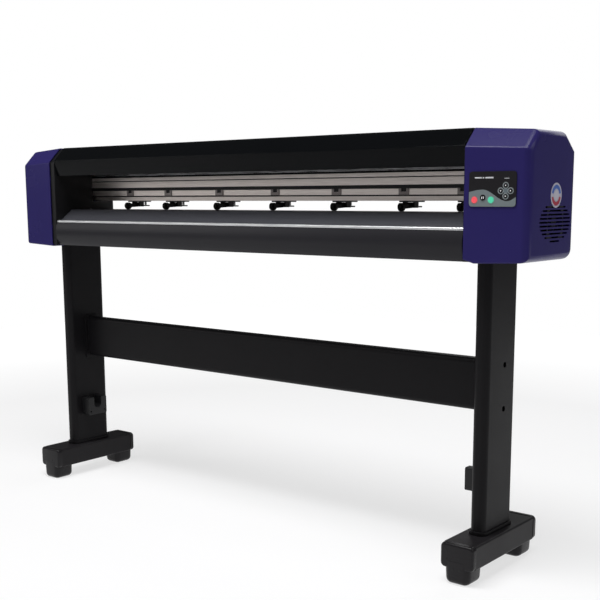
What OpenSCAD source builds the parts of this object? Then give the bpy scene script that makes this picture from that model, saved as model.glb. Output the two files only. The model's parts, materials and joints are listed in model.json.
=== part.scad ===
// Wide-format roll-fed cutter on a two-legged stand.
// X runs along the machine, Y from the operator's side to the back, Z up from the floor.
// The origin lies on the floor, under the middle of the stand.

/* [Head] */
// Overall width over the two end covers
machine_w = 1984; // [1300:2:2600]
// Width of the left end cover
left_cover_w = 158; // [140:1:220]
// Width of the right end cover
right_cover_w = 176; // [170:1:240]
// Depth of the end covers
head_d = 270; // [264:2:330]
// Height of the underside of the head above the floor
head_z = 834; // [650:2:1000]
// Height of the end covers
head_h = 338; // [336:1:360]
// Size of the slanted edge at the front and top
front_chamfer = 49; // [30:1:56]
// Wall of the end covers
cover_wall = 3; // [2:0.5:4]
// Thickness of the end frames
frame_t = 22; // [16:1:30]
// Thickness of the hood sheet
hood_t = 4; // [3:0.5:6]
// Height of the hood's front lip above the platen
hood_lip_h = 116; // [100:1:130]

/* [Stand] */
// Distance of each leg's middle from the middle of the machine
leg_inset = 149; // [130:1:170]
// Width of a leg across the machine
leg_w = 44; // [36:1:56]
// Depth of a leg front to back
leg_d = 160; // [120:2:180]
// Wall of the leg and crossbar tubes
tube_wall = 3; // [2:0.5:5]
// Length of a foot with its end caps
foot_l = 360; // [340:2:520]
// Width of a foot tube
foot_w = 96; // [76:1:110]
// Height of a foot tube
foot_h = 66; // [50:1:80]
// Height of the pads under a foot
pad_h = 43; // [24:1:60]
// Height of the crossbar's lower edge above the floor
crossbar_z = 430; // [300:2:520]
// Height of the crossbar's section
crossbar_h = 143; // [90:1:160]
// Depth of the crossbar's section
crossbar_d = 44; // [30:1:60]
// Height of the seat of the roll spindle above the floor
spindle_z = 256; // [230:1:290]
// Radius of the roll spindle that the cradles take
spindle_r = 16; // [10:0.5:19]

/* [Media path] */
// Height of the platen above the underside of the head
platen_h = 126; // [124:1:140]
// Gap between the platen and the guide beam
media_gap = 30; // [29:0.5:36]
// Height of the guide beam
beam_h = 130; // [130:1:136]
// Number of pinch rollers
roller_n = 7; // [3:1:7]
// Pitch of the inner pinch rollers
roller_pitch = 237; // [120:1:260]
// Pitch between each outer pinch roller and its neighbour
roller_end_pitch = 190; // [100:1:220]
// Offset of the roller row from the middle of the machine
roller_shift = 47; // [0:1:80]
// Radius of the pinch rollers
pinch_r = 11.5; // [10:0.5:12]
// Radius of the drive rollers
grit_r = 12; // [10:0.5:14]
// Radius of the drive shaft
shaft_r = 8; // [6:0.5:9]

/* [Carriage] */
// Width of the carriage
carriage_w = 96; // [80:1:110]
// Radius of the blade holder
blade_holder_r = 7.5; // [5:0.5:9]
// Working radius of the carriage belt's pulleys
pulley_r = 12; // [9:0.5:16]
// Radius of the driven wheel on the drive shaft
feed_wheel_r = 30; // [20:1:34]

/* [Controls] */
// Width of the control panel
panel_w = 128; // [124:1:130]
// Height of the control panel
panel_h = 86; // [80:1:96]
// Radius of an arrow key
key_r = 5.4; // [4:0.1:6]
// Radius of the stop, mode and start keys
run_key_r = 7.4; // [6:0.1:8]
// Width of the cooling fan
fan_w = 92; // [80:1:96]

/* [Clearances] */
// Radial clearance of a shaft or pin that turns in a bore
running = 0.05; // [0.02:0.01:0.08]
// Gap between pieces that pass each other
passing = 0.4; // [0.3:0.1:0.8]
// Gap at the ends of the long panels
panel_gap = 1; // [0.5:0.5:2]

/* [Hidden] */
$fn = 48;

// Overall places
half_w = machine_w / 2;
left_x = -half_w + left_cover_w;
right_x = half_w - right_cover_w;
bay_x = min(-left_x - frame_t, right_x - 4);
head_top = head_z + head_h;
half_d = head_d / 2;
rear_chamfer = [60, 47];
overlap = 1;

// End covers: draft towards the outer end and a rounded outer rim
draft = 0.951;
draft_centre_z = head_z + 133;
rim_r = 20;
frame_inset = cover_wall + 1.5;
frame_web = 6;
frame_rim = 14;
foot_corner_r = 28;
boss_z = [head_z + 60, head_z + 226];
boss_l = 12;
boss_d = 15;

// Stand
leg_x = half_w - leg_inset;
foot_top = pad_h + foot_h;
base_plate_t = 10;
leg_bottom = foot_top + base_plate_t;
leg_top = head_z + 6;
top_plate_t = 8;
leg_corner_r = 18;
cap_t = 18;
pad_size = [78, 76];
pad_corner_r = 20;
foot_cap_rim = 2;
foot_cap_r = 16;
pad_hole_r = 3.5;
pad_hole_step = 21;
leg_flange = 10;
crossbar_y = -4;
crossbar_end = leg_x - leg_w / 2 - 4;
crossbar_corner_r = 14;
crossbar_flange = 14;
bolt_inset = 12;
bolt_y = crossbar_y + 18;
cradle_reach = 38;
cradle_w = 82;
cradle_h = 64;
cradle_drop = 9;
cradle_corner_r = 5;
cradle_hole_r = 3;
bolt_r = 4;
bolt_head_r = 6.5;
bolt_head_t = 5;
bolt_fit = 0.2;

// Head structure
beam_z0 = leg_top + top_plate_t;
base_beam_h = 52;
base_beam_top = beam_z0 + base_beam_h;
base_beam_wall = 3;
base_beam_end = 67;
platen_z = head_z + platen_h;
platen_t = 8;
platen_front = -half_d + 73;
platen_back = half_d - 23;
slope_drop = 35;
slope_run = 46;
slope_lean = 3;
web_t = 6;
web_front_y = -44;
web_back_y = 68;
trim_h = 7;
trim_d = 19;
sheet_t = 3;
apron_front_z = platen_z - slope_drop - trim_h - 1;
apron_lift = 4;
apron_bulge_r = 78;
apron_mid = [-half_d + 1 + apron_bulge_r, (apron_front_z + head_z + apron_lift) / 2 + 6];

// Guide beam, seen in section
gb_z = platen_z + media_gap;
gb_top = gb_z + beam_h;
gb_back = 112;
gb_front = 37;
gb_step2 = 42;
gb_step3 = 48;
rail_slot_z = [gb_z + 79, gb_z + 104];
rail_slot_y = 57;
gb_end = 97;
rail_w = 16;
rail_h = 13;
rail_mid_z = (rail_slot_z[0] + rail_slot_z[1]) / 2;

// Drive shaft and pinch units
shaft_y = 30;
grit_lift = 1;
shaft_z = platen_z + grit_lift - grit_r;
bearing_r = shaft_r + 6;
bearing_w = 11;
pinch_z = platen_z + grit_lift + passing + pinch_r;
roller_w = 12;
axle_r = 3;
pivot_y = 76;
pivot_z = platen_z + 18;
pivot_r = 4;
arm_t = 3;
arm_gap = 0.6;
arm_tail = 46;
arm_tail_t = 4;
block_w = 40;
clip_w = 34;
block_t = 4;
block_cheek = 5;
window_w = 24;
spring_r = 4;
spring_n = 5;
spring_y = pivot_y + 36;
clip_t = 2.5;
clip_h = 18;
roller_mid = (roller_n - 1) / 2;
roller_x = [for (i = [0 : roller_n - 1]) roller_place(i)];
function roller_place(i) =
  roller_shift + (i - roller_mid) * roller_pitch
  + (i == 0 ? 1 : i == roller_n - 1 ? -1 : 0) * (roller_pitch - roller_end_pitch);

// Carriage, parked at the right end
home_x = right_x + 7;
tool_travel = 5;
plate_y = [24, 34];
tool_y = -20;
holder_z = [gb_z + 16, gb_z + 50];
cover_z = [gb_z + 10, gb_z + 116];
cover_front = -58;
guide_x = 22;
guide_y = 10;
guide_r = 3;
lug_t = 6;
lug_z = [holder_z[0] - tool_travel - 1 - lug_t, holder_z[1] + 10];
boss_r = 6;
tip_z = platen_z + tool_travel + 0.5;
solenoid_z = [gb_z + 74, gb_z + 108];
belt_t = 2;
belt_w = 10;
belt_y = 60;
belt_z = gb_top + 6;
motor_w = 56;
motor_h = 56;
motor_shaft_r = 4;
motor_bore = 12;
motor_bolt_at = 23.5;
motor_plate_t = 4;
belt_motor_x = half_w - 62;
idler_x = -half_w + 132;
flange_lip = 2.5;
flange_r = pulley_r + flange_lip;
pulley_z = belt_z - 1.5;

// Feed drive in the right cover
feed_wheel_x = half_w - 97;
feed_belt_w = 14;
feed_pulley_r = 12;
feed_motor_at = [-56, platen_z - 30];
feed_plate_x = feed_wheel_x + feed_belt_w + 4;
shaft_end = half_w - 57;

// Hood
hinge_y = 58;
hinge_z = head_top - 16;
knuckle_r = 9;
knuckle_l = 40;
hinge_pin_r = 4;
hinge_pin_l = 28;
hood_lip_z = platen_z + hood_lip_h;

// Control panel on the drafted front of the right cover
panel_t = 2;
panel_mid_x = right_x + 78;
panel_mid_z = head_z + 185;
panel_tilt = atan(half_d * (1 - draft) / right_cover_w);
panel_y = -half_d * (1 - (1 - draft) * (panel_mid_x - right_x) / right_cover_w) - 0.05;
key_step = 13;
key_pad_mid = [36, -4];
arrow_places = [for (d = [[0, 1], [0, -1], [-1, 0], [1, 0]]) key_pad_mid + key_step * d];
run_places = [[-48, -26], [-25, -20.5], [-3, -26]];
key_back = 1.2;
key_collar = 0.8;
panel_corner_r = 8;
key_t = 3.4;

// Ventilation in the right cover's side
vent_at = [16, head_z + 103];
vent_half = [88, 50];
vent_pitch = 9.5;
vent_slot = 4.6;
vent_n = 11;
inlet_at = [-half_w + 70, head_z + 66];
inlet_tilt = atan(half_d * (1 - draft) / left_cover_w);
rocker_at = 44;
rocker_half = 9;
rocker_tilt = 8;
rocker_sink = 4;
fan_mid = vent_at + [6, 0];
fan_t = 25;
fan_x = half_w - cover_wall - fan_t - 0.2;
fan_bore_r = fan_w / 2 - 3;
fan_hub_r = 15;
fan_pin_r = 2;
fan_blade_n = 7;
disc_at = [17, head_z + 170];
disc_r = 31;
disc_t = 1;

// Shapes used by several pieces

// A rectangle with round corners
module round_rect(size, r) {
  union() {
    square([size.x - 2 * r, size.y], center = true);
    square([size.x, size.y - 2 * r], center = true);
    for (sx = [-1, 1], sy = [-1, 1])
      translate([sx * (size.x / 2 - r), sy * (size.y / 2 - r)]) circle(r);
  }
}

// A slot or belt outline: two round ends of radius r, l apart
module stadium(l, r) {
  union() {
    square([l, 2 * r], center = true);
    for (s = [-1, 1]) translate([s * l / 2, 0]) circle(r);
  }
}

// Extrudes a Y-Z outline along X
module along_x(x0, x1) {
  translate([x0, 0, 0]) rotate([90, 0, 90]) linear_extrude(x1 - x0) children();
}

// A box from its low corner to its high corner
module box(a, b) {
  translate(a) cube(b - a);
}

module rod_x(x0, x1, r, y, z) {
  translate([x0, y, z]) rotate([0, 90, 0]) cylinder(h = x1 - x0, r = r);
}

module both_sides() {
  for (s = [-1, 1]) scale_x(s) children();
}

module scale_x(s) {
  if (s < 0) mirror([1, 0, 0]) children();
  else children();
}

function arc(c, r, a0, a1, n) =
  [for (i = [0 : n]) let (a = a0 + (a1 - a0) * i / n) [c[0] + r * cos(a), c[1] + r * sin(a)]];

// Outline of an end cover in Y and Z, inset all round
function head_outline(inset) =
  let (
    slant = inset * (sqrt(2) - 1),
    low = head_z + inset,
    high = head_top - inset,
    front = -half_d + inset,
    back = half_d - inset,
    r = foot_corner_r - inset
  )
  concat(
    [[front, low]],
    arc([back - r, low + r], r, -90, 0, 6),
    [
      [back, head_top - rear_chamfer[1] - slant],
      [half_d - rear_chamfer[0] - slant, high],
      [-half_d + front_chamfer + slant, high],
      [front, head_top - front_chamfer - slant]
    ]
  );

// A drafted block with a rounded outer rim, grown outwards from x = 0 on the given side
module cover_block(side, w, inset, end_wall) {
  r = rim_r - inset;
  n = len(head_outline(0));
  steps = [0, 18, 36, 54, 72, 90];
  rings = concat(
    [[0, inset]],
    [for (a = steps) [w - end_wall - r * (1 - sin(a)), inset + r * (1 - cos(a))]]
  );
  last = (len(rings) - 1) * n;
  faces = concat(
    [[for (i = [0 : n - 1]) i]],
    [[for (i = [n - 1 : -1 : 0]) last + i]],
    [for (k = [0 : len(rings) - 2], i = [0 : n - 1]) let (j = (i + 1) % n)
      [k * n + i, (k + 1) * n + i, (k + 1) * n + j, k * n + j]]
  );
  translate([0, 0, draft_centre_z]) polyhedron(
    points = [for (q = rings) let (s = 1 - (1 - draft) * q[0] / w) for (p = head_outline(q[1]))
      [side * q[0], s * p[0], s * (p[1] - draft_centre_z)]],
    faces = [for (f = faces) side > 0 ? f : [for (i = [len(f) - 1 : -1 : 0]) f[i]]]
  );
}

// The bosses inside rest on the end frame's outer face, boss_x from the cover's edge
module cover_shell(side, w, boss_x) {
  leg_notch = w - leg_inset + leg_w / 2 + 2;
  union() {
    difference() {
      cover_block(side, w, 0, 0);
      translate([-side * overlap / 10, 0, 0]) cover_block(side, w, cover_wall, cover_wall);
      translate([side > 0 ? -overlap : -leg_notch, -leg_d / 2 - 2, head_z - overlap])
        cube([leg_notch + overlap, leg_d + 4, 2 * cover_wall + 8]);
    }
    for (s = [-1, 1], z = boss_z)
      translate([side > 0 ? boss_x : -boss_x - boss_l, s * (half_d - 2 - boss_d / 2) - boss_d / 2, z])
        cube([boss_l, boss_d, boss_l]);
  }
}

// Stand

module foot_tube(x) {
  color("#3b3c3f") translate([x, 0, pad_h + foot_h / 2]) rotate([90, 0, 0])
    linear_extrude(foot_l - 2 * cap_t, center = true) difference() {
      round_rect([foot_w, foot_h], 6);
      round_rect([foot_w - 2 * tube_wall, foot_h - 2 * tube_wall], 4);
    }
}

// Caps that close the foot tubes, each with the pad it stands on
module foot_end_caps() {
  color("#4a4b4f") both_sides() for (s = [-1, 1]) difference() {
    union() {
      translate([leg_x, s * (foot_l / 2 - cap_t / 2), pad_h + foot_h / 2]) rotate([90, 0, 0])
        linear_extrude(cap_t, center = true)
          round_rect([foot_w, foot_h] + [1, 1] * foot_cap_rim, foot_cap_r);
      translate([leg_x, s * (foot_l / 2 - pad_size.y / 2), 0])
        linear_extrude(pad_h) round_rect(pad_size, pad_corner_r);
    }
    for (dx = [-1, 1])
      translate([leg_x + dx * pad_hole_step / 2, s * foot_l / 2, pad_h - pad_hole_r]) rotate([90, 0, 0])
        cylinder(h = cap_t, r = pad_hole_r, center = true);
  }
}

// A tube with a flange welded under it and a cap plate welded on top
module leg(side) {
  color("#232427") difference() {
    translate([side * leg_x, 0, 0]) union() {
      translate([0, 0, foot_top]) linear_extrude(base_plate_t)
        round_rect([leg_w + leg_flange, leg_d + leg_flange], leg_corner_r + leg_flange / 2);
      translate([0, 0, leg_bottom]) linear_extrude(leg_top - leg_bottom) difference() {
        round_rect([leg_w, leg_d], leg_corner_r);
        round_rect([leg_w - 2 * tube_wall, leg_d - 2 * tube_wall], leg_corner_r - tube_wall);
      }
      translate([0, 0, leg_top]) linear_extrude(top_plate_t) round_rect([leg_w, leg_d], leg_corner_r);
    }
    bolt_places() translate([side * leg_x, 0, 0]) rod_x(-leg_w, leg_w, bolt_r, 0, 0);
    bolt_places() translate([side * leg_x, 0, 0]) scale_x(side)
      rod_x(leg_w / 2 - tube_wall, leg_w, bolt_head_r + 1, 0, 0);
  }
}

// Places its children at the two bolts of a crossbar's end
module bolt_places() {
  for (z = [crossbar_z + bolt_inset, crossbar_z + crossbar_h - bolt_inset])
    translate([0, bolt_y, z]) children();
}

// A tube with a plate welded on each end
module crossbar() {
  mid = [crossbar_y + crossbar_d / 2, crossbar_z + crossbar_h / 2];
  size = [crossbar_d, crossbar_h];
  color("#232427") union() {
    along_x(-crossbar_end, crossbar_end) translate(mid) difference() {
      round_rect(size, crossbar_corner_r);
      round_rect(size - [2, 2] * tube_wall, crossbar_corner_r - tube_wall);
    }
    both_sides() difference() {
      along_x(crossbar_end, leg_x - leg_w / 2) translate(mid - [4, 0])
        round_rect(size + [1, 1] * crossbar_flange, crossbar_corner_r / 2);
      bolt_places() rod_x(0, leg_x, bolt_r, 0, 0);
    }
  }
}

// A block on the leg's inner face with a round seat between two ears
module roll_cradle(side) {
  inner = leg_x - leg_w / 2;
  x0 = inner - cradle_reach - overlap;
  color("#26272a") scale_x(side) difference() {
    along_x(inner - cradle_reach, inner)
      translate([0, spindle_z - cradle_drop]) round_rect([cradle_w, cradle_h], cradle_corner_r);
    rod_x(x0, inner + overlap, spindle_r, 0, spindle_z);
    box([x0, -spindle_r, spindle_z], [inner + overlap, spindle_r, spindle_z + cradle_h]);
    for (s = [-1, 1])
      rod_x(x0, inner + overlap, cradle_hole_r, s * (cradle_w / 2 - 9), spindle_z - 28);
  }
}

// Bolts of the crossbar: a shank through the leg's inner wall and a head inside the leg
module stand_bolts() {
  inner = leg_x - leg_w / 2;
  color("#b8b9bb") both_sides() bolt_places() union() {
    rod_x(inner - 10, inner + tube_wall, bolt_r - bolt_fit, 0, 0);
    rod_x(inner + tube_wall, inner + tube_wall + bolt_head_t, bolt_head_r, 0, 0);
  }
}

// Head structure

module base_beam() {
  color("#2c2d30") along_x(-half_w + base_beam_end, half_w - base_beam_end)
    translate([0, beam_z0 + base_beam_h / 2]) difference() {
      square([leg_d, base_beam_h], center = true);
      square([leg_d - 2 * base_beam_wall, base_beam_h - 2 * base_beam_wall], center = true);
    }
}

// Plate with a raised rim and bosses towards the cover, from x = bay_x outwards
module end_frame_plate(side) {
  x0 = side > 0 ? bay_x : -bay_x - frame_t;
  x1 = x0 + frame_t;
  pocket = side > 0 ? [bay_x + frame_web, x1 + overlap] : [x0 - overlap, -bay_x - frame_web];
  difference() {
    union() {
      difference() {
        along_x(x0, x1) polygon(head_outline(frame_inset));
        along_x(pocket[0], pocket[1]) polygon(head_outline(frame_inset + frame_rim));
      }
      rod_x(x0, x1, bearing_r + boss_r, shaft_y, shaft_z);
      rod_x(x0, x1, hinge_pin_r + boss_r, hinge_y, hinge_z);
      box([x0, gb_step3, gb_z - frame_rim], [x1, gb_back + frame_rim, gb_top]);
      box([x0, -leg_d / 2 - frame_rim, head_z + frame_inset],
          [x1, leg_d / 2 + frame_rim, base_beam_top + frame_rim]);
    }
    box([x0 - overlap, -leg_d / 2, head_z - overlap],
        [x1 + overlap, leg_d / 2, base_beam_top]);
    box([x0 - overlap, gb_front, gb_z], [x1 + overlap, gb_back, gb_top]);
    box([x0 - overlap, belt_y - flange_r - 2, gb_top - overlap],
        [x1 + overlap, belt_y + flange_r + 2, belt_z + belt_w + 4]);
    rod_x(x0 - overlap, x1 + overlap, bearing_r, shaft_y, shaft_z);
    rod_x(x0 - overlap, x1 + overlap, hinge_pin_r, hinge_y, hinge_z);
  }
}

module left_end_frame() {
  color("#1c1b1e") end_frame_plate(-1);
}

// The right frame also lets the carriage through to its parking place
module right_end_frame() {
  color("#1c1b1e") difference() {
    end_frame_plate(1);
    box([bay_x - overlap, cover_front - 8, platen_z + 4],
        [bay_x + frame_t + overlap, gb_front + overlap, belt_z + belt_w + 4]);
    box([bay_x - overlap, cover_front, gb_top - overlap],
        [bay_x + frame_t + overlap, belt_y + flange_r, belt_z + belt_w + 4]);
  }
}

module left_cover() {
  color("#4a4590") difference() {
    translate([left_x, 0, 0]) cover_shell(-1, left_cover_w, bay_x + frame_t + left_x);
    on_rear() inlet_hole();
  }
}

module right_cover() {
  color("#4a4590") difference() {
    translate([right_x, 0, 0]) cover_shell(1, right_cover_w, bay_x + frame_t - right_x);
    vent_slots();
    rod_x(half_w - disc_t, half_w + overlap, disc_r, disc_at[0], disc_at[1]);
    on_panel() key_holes(8 * cover_wall, 1);
    inner_corner_cut();
  }
}

// The small slanted cut under the right cover, where it meets the bay
module inner_corner_cut() {
  translate([right_x, half_d + overlap, head_z]) rotate([90, 0, 0])
    linear_extrude(head_d + 2 * overlap) polygon([[-1, -1], [33, -1], [33, 0], [0, 9.5], [-1, 9.5]]);
}

module vent_slots() {
  for (i = [0 : vent_n - 1]) {
    dz = (i - (vent_n - 1) / 2) * vent_pitch;
    half = vent_half[0] * sqrt(max(0.08, 1 - pow(dz / vent_half[1], 2)));
    along_x(half_w - cover_wall - 4, half_w + overlap)
      translate([vent_at[0], vent_at[1] + dz]) stadium(2 * half - vent_slot, vent_slot / 2);
  }
}

module platen() {
  color("#4b4c53") difference() {
    union() {
      along_x(-bay_x, bay_x) polygon([
        [platen_front, platen_z], [platen_back, platen_z],
        [platen_back, platen_z - platen_t], [platen_front + slope_lean, platen_z - platen_t],
        [platen_front - slope_run + slope_lean, platen_z - slope_drop - platen_t],
        [platen_front - slope_run, platen_z - slope_drop]
      ]);
      for (y = [web_front_y, web_back_y])
        along_x(-bay_x, bay_x) polygon([
          [y, base_beam_top], [y + web_t, base_beam_top],
          [y + web_t, platen_z - platen_t], [y, platen_z - platen_t]
        ]);
    }
    for (x = roller_x)
      box([x - window_w / 2 - 2, shaft_y - grit_r - 2, platen_z - platen_t - overlap],
          [x + window_w / 2 + 2, shaft_y + grit_r + 2, platen_z + overlap]);
    rod_x(-bay_x - overlap, bay_x + overlap, shaft_r + passing, shaft_y, shaft_z);
  }
}

// Convex sheet below the trim, from the platen's front edge to the head's underside
module front_apron() {
  low_z = head_z + apron_lift;
  outer = apron_curve(0);
  inner = apron_curve(sheet_t);
  color("#36373c") along_x(-bay_x, bay_x)
    polygon(concat(
      outer,
      [[-leg_d / 2, low_z], [-leg_d / 2, low_z + sheet_t]],
      [for (i = [len(inner) - 1 : -1 : 0]) inner[i]]
    ));
}

function apron_curve(inset) =
  let (
    r = apron_bulge_r - inset,
    a0 = 180 - asin((apron_front_z - apron_mid[1]) / r),
    a1 = 180 + asin((apron_mid[1] - head_z - apron_lift - inset) / r)
  )
  arc(apron_mid, r, a0, a1, 14);

module apron_trim() {
  color("#b9bcc4") along_x(-bay_x, bay_x)
    translate([platen_front - slope_run - trim_d, apron_front_z])
      polygon([[0, 0], [trim_d, 0], [trim_d, trim_h], [2, trim_h], [0, trim_h - 2]]);
}

module rear_apron() {
  r = apron_bulge_r;
  low = head_z + apron_lift;
  mid = [half_d - 1 - r, platen_z - platen_t - r + 10];
  outer = arc(mid, r, 60, 0, 10);
  inner = arc(mid, r - sheet_t, 0, 60, 10);
  color("#36373c") along_x(-bay_x, bay_x)
    polygon(concat(
      outer,
      [[half_d - 1, low], [leg_d / 2, low], [leg_d / 2, low + sheet_t]],
      [[half_d - 1 - sheet_t, low + sheet_t]],
      inner
    ));
}

// Folded sheet that closes the back above the media gap
module rear_cover() {
  y0 = hinge_y + 22;
  yb = half_d - frame_inset;
  zt = head_top - frame_inset;
  k = rear_chamfer[1] / rear_chamfer[0];
  z_at = zt - max(0, y0 - (half_d - rear_chamfer[0] - 2)) * k;
  color("#242428") along_x(-bay_x, bay_x) polygon([
    [y0, z_at], [yb, head_top - rear_chamfer[1] - frame_inset], [yb, gb_z + 10],
    [gb_back, gb_z + 10], [gb_back, gb_z + 13], [yb - sheet_t, gb_z + 13],
    [yb - sheet_t, head_top - rear_chamfer[1] - frame_inset - 2], [y0, z_at - sheet_t - 1]
  ]);
}

module guide_beam() {
  z = gb_z;
  color("#b7b0aa") along_x(-half_w + gb_end + 15, half_w - gb_end) difference() {
    polygon([
      [gb_step3, z], [gb_back, z], [gb_back, gb_top], [gb_front, gb_top],
      [gb_front, rail_slot_z[1]], [rail_slot_y, rail_slot_z[1]],
      [rail_slot_y, rail_slot_z[0]], [gb_front, rail_slot_z[0]],
      [gb_front, z + 68], [gb_front + 3, z + 68], [gb_front + 3, z + 65], [gb_front, z + 65],
      [gb_front, z + 45], [gb_step3 + 6, z + 45], [gb_step3 + 6, z + 34], [gb_step2, z + 34],
      [gb_step2, z + 17], [gb_step2 + 3, z + 17], [gb_step2 + 3, z + 13], [gb_step3, z + 13]
    ]);
    translate([78, z + 8]) square([28, 48]);
    translate([66, z + 66]) square([40, 56]);
  }
}

// Hood

module hood() {
  e = bay_x - panel_gap;
  yf = -half_d + 4;
  color("#17171b", 0.9) difference() {
    union() {
      along_x(-e, e) polygon([
        [hinge_y + knuckle_r, head_top], [-half_d + front_chamfer, head_top],
        [yf, head_top - front_chamfer + 4], [yf + 12, hood_lip_z],
        [yf + 12 + hood_t, hood_lip_z], [yf + hood_t, head_top - front_chamfer + 2],
        [-half_d + front_chamfer + 2, head_top - hood_t],
        [hinge_y + knuckle_r - hood_t, head_top - hood_t],
        [hinge_y + knuckle_r - hood_t, hinge_z], [hinge_y + knuckle_r, hinge_z]
      ]);
      rod_x(-e, -e + knuckle_l, knuckle_r, hinge_y, hinge_z);
      rod_x(e - knuckle_l, e, knuckle_r, hinge_y, hinge_z);
    }
    rod_x(-e - overlap, -e + hinge_pin_l / 2 + 2, hinge_pin_r + running, hinge_y, hinge_z);
    rod_x(e - hinge_pin_l / 2 - 2, e + overlap, hinge_pin_r + running, hinge_y, hinge_z);
  }
}

module hood_hinge_pins() {
  color("#b8b9bb") both_sides()
    rod_x(bay_x - hinge_pin_l / 2, bay_x + hinge_pin_l / 2, hinge_pin_r, hinge_y, hinge_z);
}

// Carriage and its guide

module linear_rail() {
  color("#8d8f94") along_x(-bay_x + 12, half_w - gb_end - 10)
    translate([rail_slot_y - rail_w, rail_mid_z - rail_h / 2]) difference() {
      square([rail_w, rail_h]);
      for (s = [-overlap, rail_h - 2]) translate([5, s]) square([5, 2 + overlap]);
    }
}

module carriage() {
  c = passing;
  h = (rail_slot_z[1] - rail_slot_z[0]) / 2 - 1;
  color("#6b6d72") translate([home_x, 0, 0]) difference() {
    union() {
      box([-carriage_w / 2, plate_y[0], lug_z[0]], [carriage_w / 2, plate_y[1], belt_z + belt_w + 2]);
      box([-30, plate_y[1], rail_mid_z - h], [30, rail_slot_y - 4, rail_mid_z + h]);
      box([-15, plate_y[1], gb_top + 3], [15, belt_y - 6, belt_z + belt_w + 2]);
      for (z = lug_z)
        box([-guide_x - boss_r, guide_y - boss_r, z], [guide_x + boss_r, plate_y[0], z + lug_t]);
    }
    box([-31, rail_slot_y - rail_w - c, rail_mid_z - rail_h / 2 - c],
        [31, rail_slot_y, rail_mid_z + rail_h / 2 + c]);
    box([-16, belt_y - pulley_r - belt_t - c, belt_z - c],
        [16, belt_y - pulley_r + c, belt_z + belt_w + 3]);
    for (s = [-1, 1])
      translate([s * guide_x, guide_y, 0]) cylinder(h = gb_top, r = guide_r);
  }
}

module tool_guide_pins() {
  color("#c9cacc") for (s = [-1, 1])
    translate([home_x + s * guide_x, guide_y, lug_z[0]])
      cylinder(h = lug_z[1] + lug_t - lug_z[0], r = guide_r);
}

// Open at the back and below; the tool shows through the slot in its front
module carriage_cover() {
  t = 2;
  w = carriage_w / 2;
  color("#2b2c30") translate([home_x, 0, 0]) difference() {
    box([-w, cover_front, cover_z[0]], [w, plate_y[0], cover_z[1]]);
    box([-w + t, cover_front + t, cover_z[0] - overlap], [w - t, plate_y[0] + overlap, cover_z[1] - t]);
    box([-14, cover_front - overlap, cover_z[0] - overlap], [14, cover_front + 2 * t, holder_z[1] + 4]);
  }
}

module tool_holder() {
  color("#54565b") translate([home_x, 0, 0]) difference() {
    union() {
      box([-15, tool_y - 14, holder_z[0]], [15, guide_y - boss_r, holder_z[1]]);
      box([-guide_x - boss_r, guide_y - boss_r, holder_z[0]],
          [guide_x + boss_r, guide_y + boss_r, holder_z[1]]);
      translate([15, tool_y, (holder_z[0] + holder_z[1]) / 2]) rotate([0, 90, 0])
        cylinder(h = 12, r = 8);
    }
    translate([0, tool_y, holder_z[0] - overlap])
      cylinder(h = holder_z[1] - holder_z[0] + 2 * overlap, r = blade_holder_r);
    for (s = [-1, 1])
      translate([s * guide_x, guide_y, holder_z[0] - overlap])
        cylinder(h = holder_z[1] - holder_z[0] + 2 * overlap, r = guide_r + running);
  }
}

module blade_holder() {
  nose = 8;
  collar = 12;
  color("#c8a23a") translate([home_x, tool_y, 0]) union() {
    translate([0, 0, tip_z]) cylinder(h = 1.5, r = 1);
    translate([0, 0, tip_z + 1]) cylinder(h = nose, r1 = 2.5, r2 = blade_holder_r);
    translate([0, 0, tip_z + 1 + nose])
      cylinder(h = holder_z[1] - tip_z - 1 - nose, r = blade_holder_r);
    translate([0, 0, holder_z[1]]) cylinder(h = collar, r = blade_holder_r + 2);
  }
}

module tool_solenoid() {
  color("#8a5a2b") translate([home_x, tool_y, 0]) union() {
    translate([0, 0, solenoid_z[0]]) cylinder(h = solenoid_z[1] - solenoid_z[0], r = 12);
    translate([0, 0, holder_z[1] + 12.5]) cylinder(h = solenoid_z[0] - holder_z[1] - 12.5, r = 3);
    box([-8, 0, solenoid_z[1] - 16], [8, plate_y[0] - tool_y, solenoid_z[1] - 2]);
  }
}

// A flanged pulley on a shaft that reaches down by stub
module pulley(teeth_r, w, stub) {
  union() {
    translate([0, 0, -stub]) cylinder(h = w + 4 + stub, r = motor_shaft_r);
    cylinder(h = w + 4, r = teeth_r - passing);
    cylinder(h = 1, r = teeth_r + flange_lip);
    translate([0, 0, w + 3]) cylinder(h = 1, r = teeth_r + flange_lip);
  }
}

module carriage_belt() {
  l = belt_motor_x - idler_x;
  color("#222222") translate([(belt_motor_x + idler_x) / 2, belt_y, belt_z])
    linear_extrude(belt_w) difference() {
      stadium(l, pulley_r + belt_t);
      stadium(l, pulley_r);
    }
}

// Motor below its mounting face, with a bore for its shaft
module stepper(h) {
  band = 8;
  difference() {
    union() {
      translate([-motor_w / 2, -motor_w / 2, -band]) cube([motor_w, motor_w, band]);
      translate([-motor_w / 2 + 1, -motor_w / 2 + 1, -h]) cube([motor_w - 2, motor_w - 2, h]);
      translate([-motor_w / 2, -motor_w / 2, -h]) cube([motor_w, motor_w, band]);
    }
    for (sx = [-1, 1], sy = [-1, 1])
      translate([sx * motor_bolt_at, sy * motor_bolt_at, -h - overlap])
        cylinder(h = h + 2 * overlap, r = 2);
    translate([0, 0, -motor_bore]) cylinder(h = motor_bore + overlap, r = motor_shaft_r + running);
  }
}

module belt_motor() {
  color("#303134") translate([belt_motor_x, belt_y, gb_top]) stepper(motor_h);
}

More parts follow.
